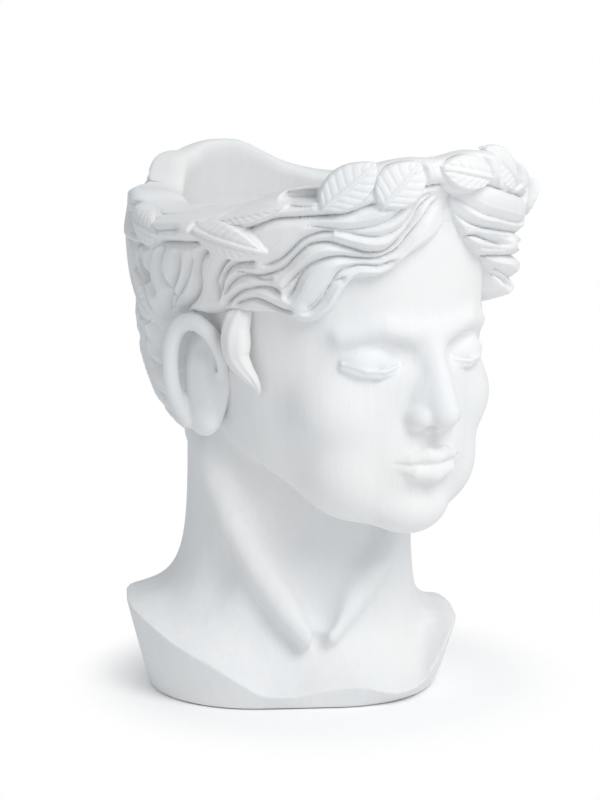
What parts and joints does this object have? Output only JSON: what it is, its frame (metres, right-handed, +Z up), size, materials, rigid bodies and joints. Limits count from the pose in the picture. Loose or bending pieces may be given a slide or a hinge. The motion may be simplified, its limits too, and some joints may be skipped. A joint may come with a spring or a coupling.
{
  "type": "head planter",
  "caption": "Planter in the form of a classical head with wavy hair and a leaf wreath, open at the top, hollow down the neck, with a lift-out drain plug.",
  "frame": {"origin": "on the surface the planter stands on, under the centre of its outline", "axes": "+Z up; the face looks along -Y; the object's right ear is on -X"},
  "size_m": [0.2152, 0.2494, 0.3192],
  "materials": {
    "cast_body": "matt cast, off-white",
    "rubber": "matt"
  },
  "bodies": {
    "bust": {"bust_casting": "cast_body", "crown_back": "cast_body", "crown_front_right": "cast_body", "crown_front_left": "cast_body", "ear_right": "cast_body", "ear_left": "cast_body", "side_curl_right": "cast_body", "side_curl_left": "cast_body", "foot_pad_1": "rubber", "foot_pad_2": "rubber", "foot_pad_3": "rubber", "foot_pad_4": "rubber", "leaf_right_1": "cast_body", "leaf_right_2": "cast_body", "leaf_right_3": "cast_body", "leaf_right_4": "cast_body", "leaf_right_5": "cast_body", "leaf_right_6": "cast_body", "leaf_right_7": "cast_body", "leaf_right_8": "cast_body", "fringe_1_right": "cast_body", "fringe_2_right": "cast_body", "fringe_3_right": "cast_body", "fringe_4_right": "cast_body", "fringe_5_right": "cast_body", "side_1_right": "cast_body", "side_2_right": "cast_body", "side_3_right": "cast_body", "nape_1_right": "cast_body", "nape_2_right": "cast_body", "nape_3_right": "cast_body", "crown_1_right": "cast_body", "crown_2_right": "cast_body", "crown_3_right": "cast_body", "leaf_left_1": "cast_body", "leaf_left_2": "cast_body", "leaf_left_3": "cast_body", "leaf_left_4": "cast_body", "leaf_left_5": "cast_body", "leaf_left_6": "cast_body", "leaf_left_7": "cast_body", "leaf_left_8": "cast_body", "fringe_1_left": "cast_body", "fringe_2_left": "cast_body", "fringe_3_left": "cast_body", "fringe_4_left": "cast_body", "fringe_5_left": "cast_body", "side_1_left": "cast_body", "side_2_left": "cast_body", "side_3_left": "cast_body", "nape_1_left": "cast_body", "nape_2_left": "cast_body", "nape_3_left": "cast_body", "crown_1_left": "cast_body", "crown_2_left": "cast_body", "crown_3_left": "cast_body"},
    "drain_plug": {"drain_plug": "rubber"}
  },
  "joints": [
    {"name": "drain_plug_lift", "type": "slide", "parent": "bust", "child": "drain_plug", "axis": [0, 0, 1], "range_m": [0, 0.33]}
  ]
}
